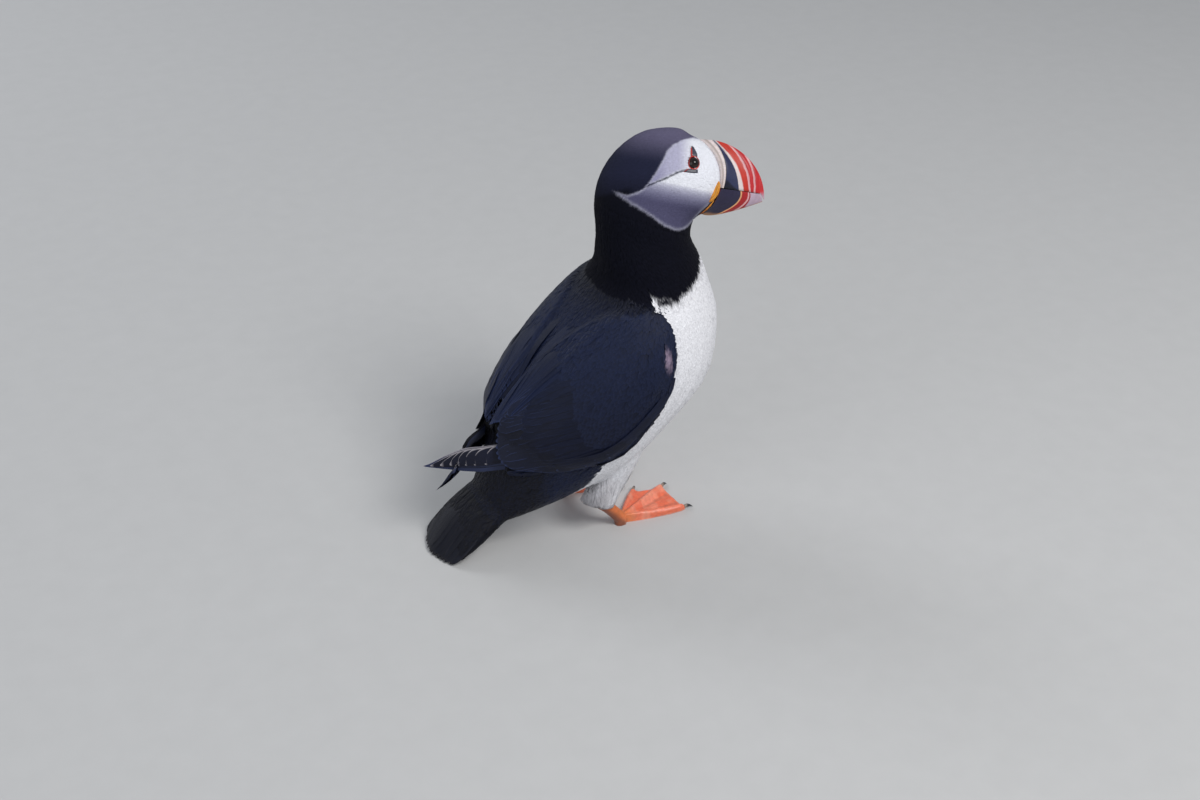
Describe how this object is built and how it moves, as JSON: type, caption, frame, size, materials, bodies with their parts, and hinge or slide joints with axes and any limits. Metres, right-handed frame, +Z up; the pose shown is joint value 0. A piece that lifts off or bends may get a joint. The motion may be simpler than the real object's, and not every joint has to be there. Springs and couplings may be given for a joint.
{
  "type": "atlantic puffin",
  "caption": "Life-size still figure of a standing Atlantic puffin in summer dress, head turned to its right, resting on both webbed feet and its tail tip.",
  "frame": {"origin": "middle of the bounding box, at the floor under the feet and the tail tip", "axes": "+X the way the body faces, +Y to the bird's left, +Z up"},
  "size_m": [0.198, 0.1106, 0.2275],
  "materials": {
    "plumage_white": "white breast, belly and thigh feathers",
    "plumage_black": "blue-black feathers of collar, wings and tail",
    "plumage_grey": "short plush of the face, pale grey, with a dark crown",
    "bill_band": "pitted cream band of horn round the root of the bill",
    "bill_horn": "smooth horn, blue-grey at the root and red beyond, with pale grooves",
    "bill_horn_lower": "smooth horn, blue-grey at the root, cream and red towards the tip",
    "eye": "wet dark eye",
    "eyelid": "bare red ring of skin",
    "eye_plate": "blue-grey horny plates above and below the eye",
    "rosette": "soft wrinkled yellow-orange skin at the corner of the mouth",
    "foot_skin": "orange-red scaly toes and smooth webs",
    "claw": "dark horn"
  },
  "bodies": {
    "root": {"trunk": "plumage_white", "neck": "plumage_black", "head": "plumage_grey", "bill_ridge": "bill_band", "bill_upper": "bill_horn", "bill_lower": "bill_horn_lower", "tail": "plumage_black", "eye_right": "eye", "eye_left": "eye", "eyelid_right": "eyelid", "eyelid_left": "eyelid", "brow_plate_right": "eye_plate", "brow_plate_left": "eye_plate", "under_eye_plate_right": "eye_plate", "under_eye_plate_left": "eye_plate", "gape_rosette_right": "rosette", "gape_rosette_left": "rosette", "wing_right": "plumage_black", "wing_left": "plumage_black", "thigh_right": "plumage_white", "thigh_left": "plumage_white", "tarsus_right": "foot_skin", "tarsus_left": "foot_skin", "foot_right": "foot_skin", "foot_left": "foot_skin", "claw_inner_right": "claw", "claw_middle_right": "claw", "claw_outer_right": "claw", "claw_inner_left": "claw", "claw_middle_left": "claw", "claw_outer_left": "claw"}
  },
  "joints": []
}
